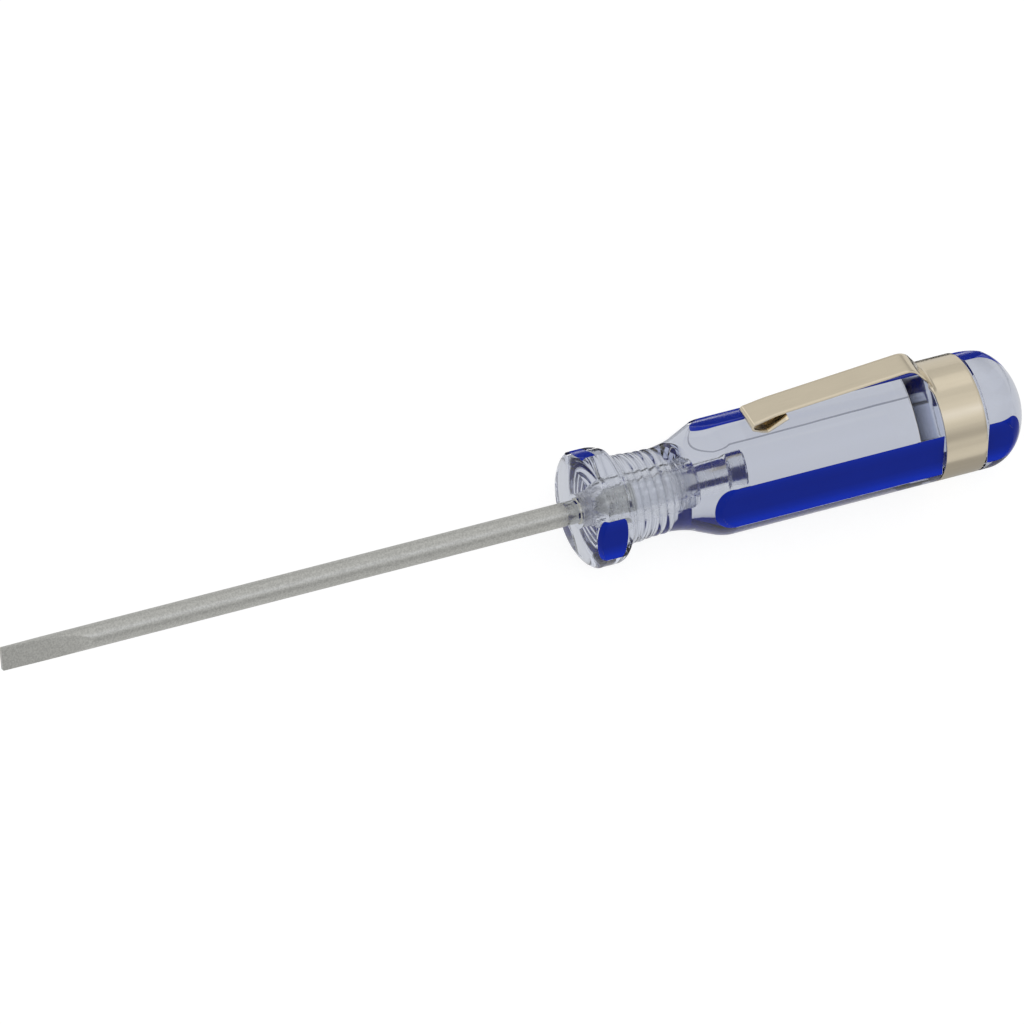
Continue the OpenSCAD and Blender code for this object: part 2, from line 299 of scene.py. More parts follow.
def clear_acetate(s):
    """Cellulose acetate, moulded and polished by tumbling, then drilled for the blade and painted.
    It gives the eye a water clear body with a cold cast, a glassy skin with long soft waves, a
    dull scored bore, frosted roots between the grip rings with painted shade in them, and a painted
    dark line beside the bare flat where the flat's edge shows through the plastic."""
    made, add, place = material("clear_cellulose_acetate")
    x, y, z = add("SeparateXYZ", (place,)).outputs

    # Tumbling leaves the skin bright, with a faint haze in patches of about 1.4 mm.
    marks = add(
        "TexNoise", {"Vector": place, "Scale": 1 / (1.4 * MM), "Detail": 3.0, "Roughness": 0.6}
    )
    haze = add("MapRange", (marks, 0.45, 0.75, 0.0, 0.03))

    # It shrinks a little unevenly as it cools: waves of about 6 mm in the skin.
    waves = add("TexNoise", {"Vector": place, "Scale": 1 / (6 * MM), "Detail": 1.0})
    skin = add("Bump", {"Height": waves, "Strength": 0.04, "Distance": 0.4 * MM})
    cast = add("Mix", (waves, WHITE, linear("#FCFDFF")), data_type="RGBA")

    # The drill leaves scores round the bore. Real ones are some 0.05 mm apart, too fine to show,
    # so they are drawn 0.5 mm apart.
    reach = distance_from_axis(add, y, z)
    drilled = add("Math", (reach, s.mouth_r + 0.05 * MM), "LESS_THAN")
    turned = add(
        "Mapping", {"Vector": place, "Scale": (1 / (0.5 * MM), 1 / (1.5 * MM), 1 / (1.5 * MM))}
    )
    drill = add("TexNoise", {"Vector": turned, "Scale": 1.0, "Detail": 3.0})
    wall = add("MapRange", (drill, 0.35, 0.65, 0.04, 0.3))
    haze = add("Mix", (drilled, haze, wall), data_type="FLOAT")
    score = add("Math", (drilled, drill), "MULTIPLY")
    skin = add("Bump", {"Height": score, "Strength": 0.5, "Distance": 0.12 * MM, "Normal": skin})

    # A painted dark line of real width 0.05 mm just outside each of the bare flat's two long edges,
    # clear of the shoulder, stands in for the flat's edge as seen through the plastic.
    side = add("Math", (y,), "ABSOLUTE")
    edge = math.sqrt(s.barrel_r**2 - s.flat_dist**2)
    near = add("Math", (side, edge + EDGE_LINE_OUT, EDGE_LINE_HALF), "COMPARE")
    low = add("Math", (z, -0.97 * s.flat_dist), "LESS_THAN")
    edge_line_span = add("Math", (x, EDGE_LINE_FROM), "GREATER_THAN")
    edge_line_span = add("Math", (edge_line_span, low), "MULTIPLY")
    painted_edge_line = add("Math", (near, edge_line_span), "MULTIPLY")
    cast = add("Mix", (painted_edge_line, cast, linear("#95979E")), data_type="RGBA")

    # The tumbling stones do not reach the roots between the grip rings, so these stay frosted and
    # rough; their colour is also painted greyer there, as painted shade in the roots.
    ring, crest = ring_swell(add, x, s.ring_start, s.ring_pitch)
    middle = s.ring_count / 2
    on_rings = add("Math", (ring, middle, middle + FROST_AND_SHADE_PAST), "COMPARE")
    skin_side = add("Math", (1.0, drilled), "SUBTRACT")
    on_rings = add("Math", (on_rings, skin_side), "MULTIPLY")
    root = add("Math", (1.0, crest), "SUBTRACT")
    root = add("Math", (root, FROST_AND_SHADE_POWER), "POWER")
    frost_and_shade = add("Math", (root, on_rings), "MULTIPLY")
    cast = add("Mix", (frost_and_shade, cast, linear("#C4C7CE")), data_type="RGBA")
    haze = add("Mix", (frost_and_shade, haze, 0.22), data_type="FLOAT")

    look = {"Base Color": cast, "Roughness": haze, "Normal": skin, "IOR": 1.48}
    shader = add("BsdfPrincipled", {**look, "Transmission Weight": 1.0})
    depth = add("VolumeAbsorption", {"Color": s.tint, "Density": 25.0})
    add("OutputMaterial", {"Surface": shader, "Volume": depth})
    return made


# Where the steel turns from blasted to masked, to dull in the handle, and to painted lighter where
# it is pressed into the handle.
MASKED, INSIDE, TANG_LIGHTENED = (-2.1 * MM, -1.7 * MM), (1 * MM, 4 * MM), (6.7 * MM, 7.6 * MM)


def satin_steel(s):
    """Chrome vanadium bar, blasted and plated. It gives the eye a fine even satin that stays
    bright where the bar was masked beside the handle; where it is pressed into the handle its
    colour is painted lighter, as painted light for what shows round it through the plastic."""
    made, add, place = material("blasted_chrome_vanadium_steel")
    x = add("SeparateXYZ", (place,)).outputs["X"]

    # Blasting pits of some 0.05 mm are too fine to show, so they are drawn 0.24 mm wide.
    grain = add("TexNoise", {"Vector": place, "Scale": 1 / (0.24 * MM), "Detail": 2.0})
    speck = add("MapRange", (grain, 0.36, 0.64))
    pits = add("Bump", {"Height": grain, "Strength": 0.3, "Distance": 0.03 * MM})
    tone = add("Mix", (speck, dimmed(s.steel, 0.78), s.steel), data_type="RGBA")

    # The blast passes leave the satin a little duller in clouds of about 3 mm.
    cloud = add("TexNoise", {"Vector": place, "Scale": 1 / (3 * MM), "Detail": 3.0})
    rough = add("MapRange", (cloud, 0.3, 0.7, 0.33, 0.42))
    masked = add("MapRange", (x, *MASKED), interpolation_type="SMOOTHSTEP")
    rough = add("Mix", (masked, rough, 0.12), data_type="FLOAT")
    inside = add("MapRange", (x, *INSIDE))
    rough = add("Mix", (inside, rough, 0.25), data_type="FLOAT")
    # The tang's colour is painted lighter inside the handle, as painted light.
    tang_lightened = add("MapRange", (x, *TANG_LIGHTENED))
    tone = add("Mix", (tang_lightened, tone, linear("#E9EAED")), data_type="RGBA")

    look = {"Base Color": tone, "Roughness": rough, "Normal": pits, "Metallic": 1.0}
    shader = add("BsdfPrincipled", look)
    add("OutputMaterial", {"Surface": shader})
    return made


# How deep in the sheet the inside's look starts, and over what length of the band its painted
# shade lightens.
LINING_DEPTH, LINING_SHADE_FADE = 0.2 * MM, 2.4 * MM


def bright_nickel(s):
    """Spring steel strip, pressed and then nickel plated. It gives the eye a warm bright sheen
    with faint lengthwise lines from the rolling. The inside of the band is painted dark at its
    front edge and pale behind it, as painted shade and reflection seen through the handle."""
    made, add, place = material("nickel_plated_spring_steel")
    x, y, z = add("SeparateXYZ", (place,)).outputs

    # Rolling lines are some 0.02 mm apart, too fine to show, so they are drawn 0.38 mm apart.
    stretch = add(
        "Mapping", {"Vector": place, "Scale": (1 / (16 * MM), 1 / (0.38 * MM), 1 / (0.38 * MM))}
    )
    lines = add("TexNoise", {"Vector": stretch, "Scale": 1.0, "Detail": 3.0})
    tone = add("Mix", (lines, dimmed(s.nickel, 0.92), s.nickel), data_type="RGBA")
    grooves = add("Bump", {"Height": lines, "Strength": 0.12, "Distance": 0.02 * MM})

    # The plate takes a little unevenly, in clouds of about 4 mm.
    cloud = add("TexNoise", {"Vector": place, "Scale": 1 / (4 * MM), "Detail": 2.0})
    rough = add("MapRange", (cloud, 0.3, 0.7, 0.15, 0.23))

    # Painted shade and reflection: the band's inside is dark at its front edge and pale behind it.
    reach = distance_from_axis(add, y, z)
    inner = add("Math", (reach, s.band_r - LINING_DEPTH), "LESS_THAN")
    edge = add("MapRange", (x, s.band_from, s.band_from + LINING_SHADE_FADE))
    lining_shade = add("Mix", (edge, linear("#3F4555"), linear("#EDEFF3")), data_type="RGBA")
    tone = add("Mix", (inner, tone, lining_shade), data_type="RGBA")
    rough = add("Mix", (inner, rough, 0.04), data_type="FLOAT")

    look = {"Base Color": tone, "Roughness": rough, "Normal": grooves, "Metallic": 1.0}
    shader = add("BsdfPrincipled", look)
    add("OutputMaterial", {"Surface": shader})
    return made


# Heights of a near field's lower and upper edge, and how light the far fields are painted at least.
FIELD_LOW, FIELD_HIGH, FAR_LEVEL = 0.9 * MM, 6.44 * MM, 0.78
# Painted shade and light on the enamel: how light it is, by the share of the way from a near
# field's lower edge to its upper.
FIELD_SHADE_LEVELS = ((0, 1), (0.08, 1), (0.2, 0.74), (0.36, 0.56), (0.7, 0.54), (0.87, 0.6), (1, 0.76))


def blue_enamel(s):
    """Air-dried enamel, wiped on the flats. It gives the eye a deep glossy blue with painted shade
    and light: darker across a near field's middle, lighter towards its lower edge and a little
    towards its upper edge, and lighter on the far fields."""
    made, add, place = material("wiped_blue_enamel")
    y, z = add("SeparateXYZ", (place,)).outputs[1:]

    # The film varies a little in clouds of about 4 mm.
    body = add("TexNoise", {"Vector": place, "Scale": 1 / (4 * MM), "Detail": 2.0})
    tone = add("Mix", (body, dimmed(s.enamel, 0.88), s.enamel), data_type="RGBA")
    rough = add("MapRange", (body, 0.3, 0.7, 0.04, 0.07))
    sag = add("Bump", {"Height": body, "Strength": 0.02, "Distance": 0.1 * MM})

    # Painted shade and light: a near field is darker across its middle and lighter at its edges,
    # and the far fields are painted lighter.
    across = add("MapRange", (z, FIELD_LOW, FIELD_HIGH))
    field_shade = add("ValToRGB", (across,))
    set_stops(field_shade, [(share, grey(level)) for share, level in FIELD_SHADE_LEVELS])
    far = add("Math", (y, 0.0), "GREATER_THAN")
    far = add("Math", (far, FAR_LEVEL), "MULTIPLY")
    level = add("Math", (field_shade, far), "MAXIMUM")
    tone = add("Mix", (1.0, tone, level), data_type="RGBA", blend_type="MULTIPLY")

    look = {"Base Color": tone, "Roughness": rough, "Normal": sag, "IOR": 1.5}
    shader = add("BsdfPrincipled", {**look, "Specular IOR Level": 0.1})
    add("OutputMaterial", {"Surface": shader})
    return made


# Outlines


def quadratic(p, q, r, steps):
    """Points of a curve from p to r that leaves and arrives along the lines to q, without p."""
    p, q, r = Vector(p), Vector(q), Vector(r)
    return [
        (1 - t) ** 2 * p + 2 * t * (1 - t) * q + t * t * r
        for t in ((i + 1) / steps for i in range(steps))
    ]


def mixed(a, b, share):
    return a + (b - a) * share


def eased(t):
    """A share that starts and ends softly, held to 0 and 1 outside."""
    t = min(1, max(0, t))
    return t * t * (3 - 2 * t)


def neck_radius(s, x):
    """Radius of the neck, which falls from the flange to its middle and rises to the shoulder."""
    foot = s.flange_end + s.flange_back
    if x < s.neck_mid:
        return mixed(s.neck_r, s.neck_front_r, (1 - (x - foot) / (s.neck_mid - foot)) ** 2)
    return mixed(s.neck_r, s.shoulder_r, ((x - s.neck_mid) / (s.shoulder_x - s.neck_mid)) ** 2)


# The rim's bend, as shares of its length and its height.
RIM_BEND = 0.25, 0.7
# How full the flange's back is, as a share of half its length.
FLANGE_CREST = 0.3
# The end of the shoulder's straight cone, as shares of its length and its rise, and where the
# bend above it has its corner and its end, as shares of its length.
CONE_END, CONE_CORNER, BEND_END = (0.66, 0.68), 0.97, 1.2
# How far the groove's edges are rounded.
GROOVE_EDGE = 0.06 * MM


def outer_outline(s):
    """The handle's outside as (x, radius), from the nose face's rim to the butt's pole."""
    points = [Vector((0, s.face_r))]

    def line_to(x, r):
        points.append(Vector((x, r)))

    def bend_to(corner, end, steps):
        points.extend(quadratic(points[-1], corner, end, steps))

    top = s.barrel_r
    bend_x, bend_share = RIM_BEND
    bend_to((bend_x * s.rim_len, mixed(s.face_r, top, bend_share)), (s.rim_len, top), 20)
    line_to(s.flange_end, top)
    turn_x = s.flange_end + s.flange_back / 2
    crest = FLANGE_CREST * s.flange_back / 2
    foot = s.flange_end + s.flange_back
    bend_to((turn_x - crest, top), (turn_x, (top + s.neck_front_r) / 2), 20)
    bend_to((turn_x + crest, s.neck_front_r), (foot, s.neck_front_r), 20)
    steps = 150
    for i in range(steps):
        x = mixed(foot, s.shoulder_x, (i + 1) / steps)
        line_to(x, neck_radius(s, x))
    cone_x, cone_rise = CONE_END
    cone_r = s.shoulder_r + cone_rise * (top - s.shoulder_r)
    line_to(s.shoulder_x + cone_x * s.shoulder_len, cone_r)
    crown_x = s.shoulder_x + CONE_CORNER * s.shoulder_len
    bend_to((crown_x, top), (s.shoulder_x + BEND_END * s.shoulder_len, top), 20)
    line_to(s.groove_from - GROOVE_EDGE, top)
    bend_to((s.groove_from, top), (s.groove_from, top - GROOVE_EDGE), 4)
    line_to(s.groove_from, s.groove_r)
    line_to(s.groove_to, s.groove_r)
    line_to(s.groove_to, top - GROOVE_EDGE)
    bend_to((s.groove_to, top), (s.groove_to + GROOVE_EDGE, top), 4)
    steps = 48
    for i in range(steps + 1):
        a = math.pi / 2 * i / steps
        line_to(BUTT_X - s.dome_h + s.dome_h * math.sin(a), top * math.cos(a))
    points[-1].y = 0
    return points


def radius_at(outline, x):
    """Radius of an outline at x."""
    i = min(max(1, bisect.bisect_right(outline, x, key=lambda p: p.x)), len(outline) - 1)
    a, b = outline[i - 1], outline[i]
    t = 0 if a.x == b.x else min(1, max(0, (x - a.x) / (b.x - a.x)))
    return mixed(a.y, b.y, t)


# The wings swell and end softly, and the tang's end is narrower than they are.
WING_EASE, WING_ROUND, TANG_NOSE = 0.5 * MM, 0.3 * MM, 0.8
# The bore's play round the tang, and where the blade's collar ends in it.
BORE_PLAY, SEAT_X = 0.02 * MM, 16.98 * MM


def tang_rows(b, radius, play, end):
    """Rows (x, half width, half thickness) from the end of the tang, or of the bore round it, to
    where its wings are swaged out of the round section."""
    rows, steps = [], 24
    start = b.tang_end - b.wing_len
    for i in range(steps + 1):
        x = mixed(start, end - WING_ROUND, i / steps)
        t = eased((x - start) / WING_EASE)
        rows.append((x, mixed(radius, b.wing_half + play, t), mixed(radius, b.wing_thin + play, t)))
    wide, thick = rows[-1][1:]
    return [(end, 0, 0), (end, wide * TANG_NOSE, thick * TANG_NOSE)] + rows[::-1]


def bore_rows(h, b):
    """The bore as rows from its closed end to its mouth, and then to the nose face's rim."""
    edge, lip = 0.35 * MM, 0.1 * MM
    deep, wide = h.mouth_depth, h.mouth_r
    line = [(deep, h.bore_r), (deep, wide - edge)]
    line += quadratic((deep, wide - edge), (deep, wide), (deep - edge, wide), 8)
    line.append((lip, wide))
    line += quadratic((lip, wide), (0, wide), (0, wide + lip), 5)
    rows = tang_rows(b, h.bore_r, BORE_PLAY, b.tang_end + BORE_PLAY)
    return rows + [(x, r, r) for x, r in line]


def blade_rows(b):
    """The blade's outline as rows from its tang's end to its tip, before it is ground."""
    lip, bevel, steps = 0.12 * MM, 0.1 * MM, 40
    line = [
        (SEAT_X, b.tang_r),
        (SEAT_X, b.collar_r - lip),
        (SEAT_X - lip, b.collar_r),
        (lip, b.collar_r),
        (0, b.collar_r - lip),
        (0, b.shank_r),
    ]
    line += [(TIP_X * (i + 1) / (steps + 1), b.shank_r) for i in range(steps)]
    line += [(TIP_X + bevel, b.shank_r), (TIP_X, b.shank_r - bevel), (TIP_X, 0)]
    return tang_rows(b, b.tang_r, 0, b.tang_end) + [(x, r, r) for x, r in line]


# Meshes

LATHE = "turned_about_the_axis"
# How wide the worn edges of the bare flat and of the clip's sheet are.
WORN_EDGE = 0.07 * MM


def lathe_tree():
    """Geometry nodes that turn a row of points (x, half width, half thickness) about X, and
    raise round grip rings on its outside."""
    tree = bpy.data.node_groups.new(LATHE, "GeometryNodeTree")
    add = partial(node, tree)
    kinds = {"Rows": "Geometry", "Segments": "Int", "Turn": "Float", "First ring": "Float"}
    kinds |= {"Ring pitch": "Float", "Ring height": "Float", "Ring count": "Int"}
    kinds |= {"Ring floor": "Float", "Finish": "Material"}
    for name, kind in kinds.items():
        tree.interface.new_socket(name, in_out="INPUT", socket_type="NodeSocket" + kind)
    tree.interface.new_socket("Turned", in_out="OUTPUT", socket_type="NodeSocketGeometry")
    given = add("NodeGroupInput").outputs

    # Each vertex of a grid finds its row and its column from its index.
    count = add("GeometryNodeAttributeDomainSize", (given["Rows"],))
    columns = add("Math", (given["Segments"], 1.0), "ADD")
    grid = add("GeometryNodeMeshGrid", {"Vertices X": count, "Vertices Y": columns})
    index = add("GeometryNodeInputIndex")
    row = add("Math", (index, 0.5), "ADD")
    row = add("Math", (row, columns), "DIVIDE")
    row = add("Math", (row,), "FLOOR")
    column = add("Math", (row, columns), "MULTIPLY")
    column = add("Math", (index, column), "SUBTRACT")
    sample = add(
        "GeometryNodeSampleIndex",
        (given["Rows"], add("GeometryNodeInputPosition"), row),
        data_type="FLOAT_VECTOR",
    )
    x, wide, thick = add("SeparateXYZ", (sample,)).outputs

    # The rings stand only on the outside, so not where the row is nearer to the axis.
    ring, swell = ring_swell(add, x, given["First ring"], given["Ring pitch"])
    begun = add("Math", (ring, 0.0), "GREATER_THAN")
    left = add("Math", (ring, given["Ring count"]), "LESS_THAN")
    outside = add("Math", (wide, given["Ring floor"]), "GREATER_THAN")
    on_rings = add("Math", (begun, left), "MULTIPLY")
    on_rings = add("Math", (on_rings, outside), "MULTIPLY")
    lift = add("Math", (swell, given["Ring height"]), "MULTIPLY")
    lift = add("Math", (lift, on_rings), "MULTIPLY")

    angle = add("Math", (column, given["Segments"]), "DIVIDE")
    angle = add("Math", (angle, math.tau), "MULTIPLY")
    across = add("Math", (wide, lift), "ADD")
    cosine = add("Math", (angle,), "COSINE")
    across = add("Math", (across, cosine), "MULTIPLY")
    up = add("Math", (thick, lift), "ADD")
    sine = add("Math", (angle,), "SINE")
    up = add("Math", (up, sine), "MULTIPLY")
    place = add("CombineXYZ", (x, across, up))
    back = add("Math", (given["Turn"], -1.0), "MULTIPLY")
    turned = add("VectorRotate", {"Vector": place, "Angle": back}, rotation_type="X_AXIS")
    placed = add("GeometryNodeSetPosition", {"Geometry": grid, "Position": turned})
    closed = add("GeometryNodeMergeByDistance", {"Geometry": placed, "Distance": 1e-7})
    smooth = add("GeometryNodeSetShadeSmooth", (closed,))
    solid = add("GeometryNodeRealizeInstances", (smooth,))
    finished = add("GeometryNodeSetMaterial", {"Geometry": solid, "Material": given["Finish"]})
    add("NodeGroupOutput", {"Turned": finished})
    return tree


def new_piece(name, data):
    """A new piece, lamp or camera in the scene."""
    data.name = name
    made = bpy.data.objects.new(name, data)
    bpy.context.scene.collection.objects.link(made)
    return made


def plain_copy(source, name):
    """The evaluated mesh of an object, as a new object. The source is removed."""
    graph = bpy.context.evaluated_depsgraph_get()
    mesh = bpy.data.meshes.new_from_object(source.evaluated_get(graph), depsgraph=graph)
    bpy.data.objects.remove(source)
    return new_piece(name, mesh)


def piece_from(name, work):
    """A new piece from a finished bmesh, which is freed."""
    mesh = bpy.data.meshes.new(name)
    work.to_mesh(mesh)
    work.free()
    return new_piece(name, mesh)


@contextmanager
def reworked(mesh):
    """Lends a mesh as a bmesh, which is written back and freed."""
    work = bmesh.new()
    work.from_mesh(mesh)
    yield work
    work.to_mesh(mesh)
    work.free()


def turned_piece(name, rows, finish, segments, turn, rings=None):
    """A piece turned about the axis by the lathe's nodes."""
    points = bpy.data.meshes.new(name + "_rows")
    points.from_pydata(rows, [], [])
    holder = new_piece(name + "_rows", points)
    lathe = holder.modifiers.new("lathe", "NODES")
    lathe.node_group = bpy.data.node_groups.get(LATHE) or lathe_tree()
    values = {"Segments": segments, "Turn": turn, "Finish": finish, "Ring pitch": 1.0}
    values.update(rings or {})
    for item in lathe.node_group.interface.items_tree:
        if item.in_out == "INPUT" and item.name in values:
            lathe[item.identifier] = values[item.name]
    holder.update_tag()
    bpy.context.view_layer.update()
    piece = plain_copy(holder, name)
    with reworked(piece.data) as work:
        bmesh.ops.recalc_face_normals(work, faces=work.faces)
    return piece


def spread(turn):
    """Unit vector across the axis at a turn from +Z towards +Y."""
    return Vector((0, math.sin(turn), math.cos(turn)))


def cut_flat(piece, turn, distance, worn=0):
    """Cuts a flat across the piece, closes it and takes the sharpness off its long edges."""
    outward = spread(turn)
    with reworked(piece.data) as work:
        cut = bmesh.ops.bisect_plane(
            work,
            geom=work.verts[:] + work.edges[:] + work.faces[:],
            dist=1e-8,
            plane_co=outward * distance,
            plane_no=outward,
            clear_outer=True,
        )
        rim = [e for e in cut["geom_cut"] if isinstance(e, bmesh.types.BMEdge) and e.is_boundary]
        bmesh.ops.triangle_fill(work, edges=rim, use_beauty=True, normal=outward)
        bmesh.ops.recalc_face_normals(work, faces=work.faces)
        if worn:
            # Only the long edges of this flat, not those round the groove or the ends.
            edges = [
                e
                for e in work.edges
                if e.calc_face_angle(0) > math.radians(15)
                and e.calc_length() > 2 * MM
                and all(abs(v.co @ outward - distance) < 1e-6 for v in e.verts)
            ]
            bmesh.ops.bevel(
                work,
                geom=edges,
                offset=worn,
                segments=2,
                profile=0.5,
                affect="EDGES",
                clamp_overlap=True,
            )


def keep_edges(mesh, degrees):
    """Shades a mesh smooth, but for the edges that are sharper than a limit."""
    limit = math.radians(degrees)
    with reworked(mesh) as work:
        for face in work.faces:
            face.smooth = True
        for edge in work.edges:
            edge.smooth = not (edge.is_manifold and edge.calc_face_angle(0) > limit)


def finish_piece(piece, finish, nodes, body=None):
    """Gives a piece its material, hides the CAD nodes that it stands for and attaches it to a body
    if one is named.
    """
    if not piece.data.polygons:
        raise RuntimeError(f"{piece.name} came out without a face")
    piece.data.materials.clear()
    piece.data.materials.append(finish)
    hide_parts(*nodes)
    if body:
        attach(piece, body)


class SCREWDRIVER_OT_handle(bpy.types.Operator):
    """Turn the clear handle with its bore, grip rings, groove and three flats"""

    bl_idname = "screwdriver.handle"
    bl_label = "Clear handle"

    def execute(self, context):
        s, b = context.scene.screwdriver_handle, context.scene.screwdriver_blade
        outline = outer_outline(s)
        rows = bore_rows(s, b) + [(p.x, p.y, p.y) for p in outline]
        finish = clear_acetate(s)
        rings = {
            "First ring": s.ring_start,
            "Ring pitch": s.ring_pitch,
            "Ring height": s.ring_h,
            "Ring count": s.ring_count,
            "Ring floor": s.barrel_r / 2,
        }
        piece = turned_piece("handle_clear", rows, finish, 192, b.tip_turn, rings)
        coat = context.scene.screwdriver_fields.coat
        for turn, distance, worn in (
            (-60, s.flat_dist - coat, 0),
            (60, s.flat_dist - coat, 0),
            (180, s.flat_dist, WORN_EDGE),
        ):
            cut_flat(piece, math.radians(turn), distance, worn)
        keep_edges(piece.data, 17)
        finish_piece(piece, finish, ["handle"], "tool")
        return {"FINISHED"}


def grinding_wheel(b, side):
    """The part of a grinding wheel that bites into one side of the tip."""
    depth = b.shank_r - b.tip_t / 2
    wheel_r = (b.grind_len**2 + depth**2) / (2 * depth)
    over = 1.5 * MM
    steps = 60
    arc = []
    for i in range(steps + 1):
        x = mixed(-over, b.grind_len + over, i / steps)
        arc.append((TIP_X + x, b.tip_t / 2 + wheel_r - math.sqrt(wheel_r**2 - x * x)))
    top = 2 * b.shank_r
    arc += [(arc[-1][0], top), (arc[0][0], top)]
    work = bmesh.new()
    out = spread(b.tip_turn) * side
    across = spread(b.tip_turn + math.pi / 2)
    rings = [
        [work.verts.new(Vector((x, 0, 0)) + out * h + across * w) for x, h in arc]
        for w in (-top, top)
    ]
    work.faces.new(rings[0])
    work.faces.new(rings[1][::-1])
    size = len(arc)
    for i in range(size):
        j = (i + 1) % size
        work.faces.new((rings[0][i], rings[1][i], rings[1][j], rings[0][j]))
    bmesh.ops.recalc_face_normals(work, faces=work.faces)
    return piece_from("wheel", work)


class SCREWDRIVER_OT_blade(bpy.types.Operator):
    """Turn the blade with its collar, tang and wings, and hollow grind its tip"""

    bl_idname = "screwdriver.blade"
    bl_label = "Steel blade"

    def execute(self, context):
        b = context.scene.screwdriver_blade
        finish = satin_steel(b)
        piece = turned_piece("blade_turned", blade_rows(b), finish, 144, b.tip_turn)
        wheels = [grinding_wheel(b, side) for side in (1, -1)]
        for wheel in wheels:
            bite = piece.modifiers.new("bite", "BOOLEAN")
            configured(bite, operation="DIFFERENCE", solver="EXACT", object=wheel)
        context.view_layer.update()
        whole = len(piece.data.polygons)
        ground = plain_copy(piece, "blade_ground")
        if len(ground.data.polygons) == whole:
            raise RuntimeError("the wheels did not grind the tip")
        for wheel in wheels:
            bpy.data.objects.remove(wheel)
        keep_edges(ground.data, 8)
        finish_piece(ground, finish, ["blade"], "tool")
        return {"FINISHED"}


def bent_path(corners, steps):
    """A line of (x, height) points whose corners (x, height, radius) are turned into arcs."""
    points = []
    for i, (x, h, r) in enumerate(corners):
        corner = Vector((x, h))
        if not r:
            points.append(corner)
            continue
        a = (Vector(corners[i - 1][:2]) - corner).normalized()
        c = (Vector(corners[i + 1][:2]) - corner).normalized()
        half = a.angle(c) / 2
        hub = corner + (a + c).normalized() * (r / math.sin(half))
        start = corner + a * (r / math.tan(half)) - hub
        end = corner + c * (r / math.tan(half)) - hub
        sweep = start.angle(end)
        side = 1 if start.x * end.y - start.y * end.x > 0 else -1
        for k in range(steps + 1):
            points.append(hub + Matrix.Rotation(side * sweep * k / steps, 2) @ start)
    return points


# How far the root's corner lies behind the band's front edge, as a share of its bend radius.
ROOT_BACK = 0.4
# The hook's front leans back below the fold: how far and how high its corner lies, and how wide it
# bends, as shares of the hook's length, of the fold's rise and of the fold's bend.
HOOK_LEAN, HOOK_CORNER, HOOK_BEND = 0.05, 0.44, 0.95


def arm_corners(c):
    """The corners (x, height, bend radius) of the arm's middle line, from its root over the hump
    and the front fold, round the hook's lean front to its lowest edge and its end."""
    low_x = c.band_from - c.reach + c.hook_len
    fold_x = c.band_from - c.reach
    lean_x = fold_x + HOOK_LEAN * c.hook_len
    end_x = low_x + c.hook_tail
    slope = (c.hump_rise - c.fold_rise) / (c.reach - c.hump_back)
    end_rise = c.fold_rise + slope * (end_x - fold_x) - c.end_gap
    r = c.band_r
    return [
        (c.band_from + ROOT_BACK * c.root_r, r, c.root_r),
        (c.band_from - c.hump_back, r + c.hump_rise, c.hump_r),
        (fold_x, r + c.fold_rise, c.fold_r),
        (lean_x, r + HOOK_CORNER * c.fold_rise, HOOK_BEND * c.fold_r),
        (low_x, r + c.hook_gap, c.fold_r),
        (end_x, r + end_rise, 0),
    ]


def clip_line(c):
    """The strip's middle line from the band's rear edge to the hook's end, as (x, height) points
    and as how far each one lies along the strip from the band's front edge."""
    line = bent_path([(c.band_to, c.band_r, 0)] + arm_corners(c), 12)
    filled = [line[0]]
    for a, b in zip(line, line[1:]):
        steps = max(1, math.ceil((b - a).length / (0.45 * MM)))
        filled += [a.lerp(b, (k + 1) / steps) for k in range(steps)]
    runs = [c.band_from - c.band_to]
    for a, b in zip(filled, filled[1:]):
        runs.append(runs[-1] + (b - a).length)
    return filled, runs


# Over how much of the arm's root the band's curve fades.
CURL_LEN = 2 * MM


def strip_row(c, point, run, front, columns):
    """One row of places (x, across, height) over the strip's width, or None outside it. The strip
    is curved like the band at its root and its hook, and flat between them. A fillet on each
    side widens its root, and its hook swings out towards the near side."""
    on_band = run <= 1e-9
    climb = min(1, max(0, run / c.flare_len))
    fillet = 1 if on_band else 1 - math.sqrt(1 - (1 - climb) ** 2)
    curl = eased(max(1 - run / CURL_LEN, (run - front) / c.hook_len))
    swing = eased(1 - (front - run) / c.toe_len)
    row = []
    for t in columns:
        extra = max(0, abs(t) - c.arm_half)
        if extra > 0 and fillet < 1e-6:
            row.append(None)
            continue
        wide = 1 + swing * (c.toe if t < 0 else -c.toe / 2) / c.arm_half
        now = math.copysign(min(abs(t), c.arm_half) * wide + extra * fillet, t)
        sag = (c.band_r - math.sqrt(c.band_r**2 - now**2)) * curl
        bent = 1 - eased(extra / c.flare)
        if not on_band:
            bent = max(bent, climb)
        x = mixed(c.band_from - run, point.x, bent)
        row.append((x, now, mixed(c.band_r, point.y, bent) - sag))
    return row


